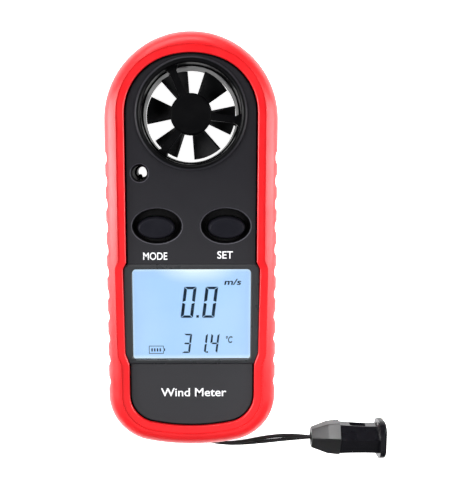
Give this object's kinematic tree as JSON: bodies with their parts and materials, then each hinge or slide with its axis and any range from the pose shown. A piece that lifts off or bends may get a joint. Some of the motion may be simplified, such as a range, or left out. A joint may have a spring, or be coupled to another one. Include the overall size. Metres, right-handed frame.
{
  "type": "handheld weather meter",
  "caption": "Pocket wind and air temperature meter with a fan duct, backlit display and two keys in a ribbed rubber sleeve, on a short lanyard loop with a quick-release buckle.",
  "frame": {"origin": "middle of the meter's length and width, on the surface that its back rests on", "axes": "+Z out of the display face, +Y towards the fan end, +X to the right of the display"},
  "size_m": [0.0766, 0.116, 0.0183],
  "materials": {
    "red_rubber": "satin moulded silicone rubber",
    "black_casing": "fine matt moulded ABS",
    "fan_plastic": "smooth black moulding",
    "impeller_plastic": "black moulding",
    "steel": "plain steel",
    "brass": "turned brass",
    "magnet": "nickel plated",
    "chip_black": "moulded epoxy",
    "sensor_epoxy": "dipped epoxy bead",
    "gloss_bezel": "semi-gloss",
    "clear_window": "clear acrylic",
    "foam": "soft black elastomer",
    "lcd_blue": "backlit liquid crystal cell",
    "light_guide": "frosted acrylic",
    "white_plastic": "white moulding",
    "led": "clear epoxy",
    "key_rubber": "satin silicone rubber",
    "carbon": "conductive rubber",
    "gold": "gold flash",
    "board": "green solder mask",
    "cell_steel": "nickel plated can",
    "cover_plastic": "fine matt moulded ABS",
    "cord_black": "braided nylon",
    "buckle_matt": "matt acetal",
    "buckle_gloss": "polished acetal"
  },
  "bodies": {
    "meter": {"backlight_leds": "led", "backlight_panel": "light_guide", "board_screws": "steel", "buckle_plug": "buckle_matt", "casing_screws": "steel", "coin_cell": "cell_steel", "controller_chip": "chip_black", "cord_ferrule": "brass", "crystal": "steel", "duct_front": "fan_plastic", "duct_rear": "fan_plastic", "front_bearing": "brass", "front_casing": "black_casing", "key_pads": "gold", "keypad_sheet": "key_rubber", "lanyard_cord": "cord_black", "lanyard_pin": "steel", "lcd_bezel": "gloss_bezel", "lcd_glass": "lcd_blue", "lcd_holder": "white_plastic", "lcd_window": "clear_window", "main_board": "board", "negative_contact": "steel", "positive_contact": "steel", "rear_bearing": "brass", "rear_casing": "black_casing", "rubber_sleeve": "red_rubber", "sensor_bead": "sensor_epoxy", "sensor_leads": "steel", "sensor_tube": "black_casing", "small_components": "chip_black", "speed_sensor": "chip_black", "window_gasket": "foam", "zebra_strips": "foam"},
    "impeller": {"impeller": "impeller_plastic", "impeller_shaft": "steel", "rotor_magnets": "magnet"},
    "mode_key": {"mode_button": "key_rubber", "mode_contact": "carbon"},
    "set_key": {"set_button": "key_rubber", "set_contact": "carbon"},
    "cover_carrier": {"cover_seal": "foam"},
    "cover": {"battery_cover": "cover_plastic"},
    "socket": {"buckle_socket": "buckle_gloss", "strap_bar": "steel"},
    "finger_left": {"latch_finger_left": "buckle_gloss"},
    "finger_right": {"latch_finger_right": "buckle_gloss"}
  },
  "joints": [
    {"name": "impeller_spin", "type": "hinge", "parent": "meter", "child": "impeller", "pos_m": [0, 0.0333, 0.0092], "axis": [0, 0, 1], "continuous": true},
    {"name": "mode_press", "type": "slide", "parent": "meter", "child": "mode_key", "axis": [0, 0, -1], "range_m": [0, 0.0007], "stiffness_N_per_m": 900},
    {"name": "set_press", "type": "slide", "parent": "meter", "child": "set_key", "axis": [0, 0, -1], "range_m": [0, 0.0007], "stiffness_N_per_m": 900},
    {"name": "cover_lift", "type": "slide", "parent": "meter", "child": "cover_carrier", "axis": [0, 0, -1], "range_m": [0, 0.00225]},
    {"name": "cover_turn", "type": "hinge", "parent": "cover_carrier", "child": "cover", "pos_m": [0, -0.0247, 0.0013], "axis": [0, 0, -1], "range_deg": [0, 540]},
    {"name": "buckle_release", "type": "slide", "parent": "meter", "child": "socket", "axis": [1, 0, 0], "range_m": [0, 0.012]},
    {"name": "latch_left_squeeze", "type": "hinge", "parent": "meter", "child": "finger_left", "pos_m": [0.04225, -0.05415, 0.00425], "axis": [0, 0, -1], "range_deg": [0, 4], "stiffness_Nm_per_rad": 0.02},
    {"name": "latch_right_squeeze", "type": "hinge", "parent": "meter", "child": "finger_right", "pos_m": [0.04225, -0.05885, 0.00425], "axis": [0, 0, 1], "range_deg": [0, 4], "stiffness_Nm_per_rad": 0.02}
  ],
  "couplings": [
    {"joint": "cover_turn", "follows": "cover_lift", "rad_per_m": 4188.8}
  ]
}
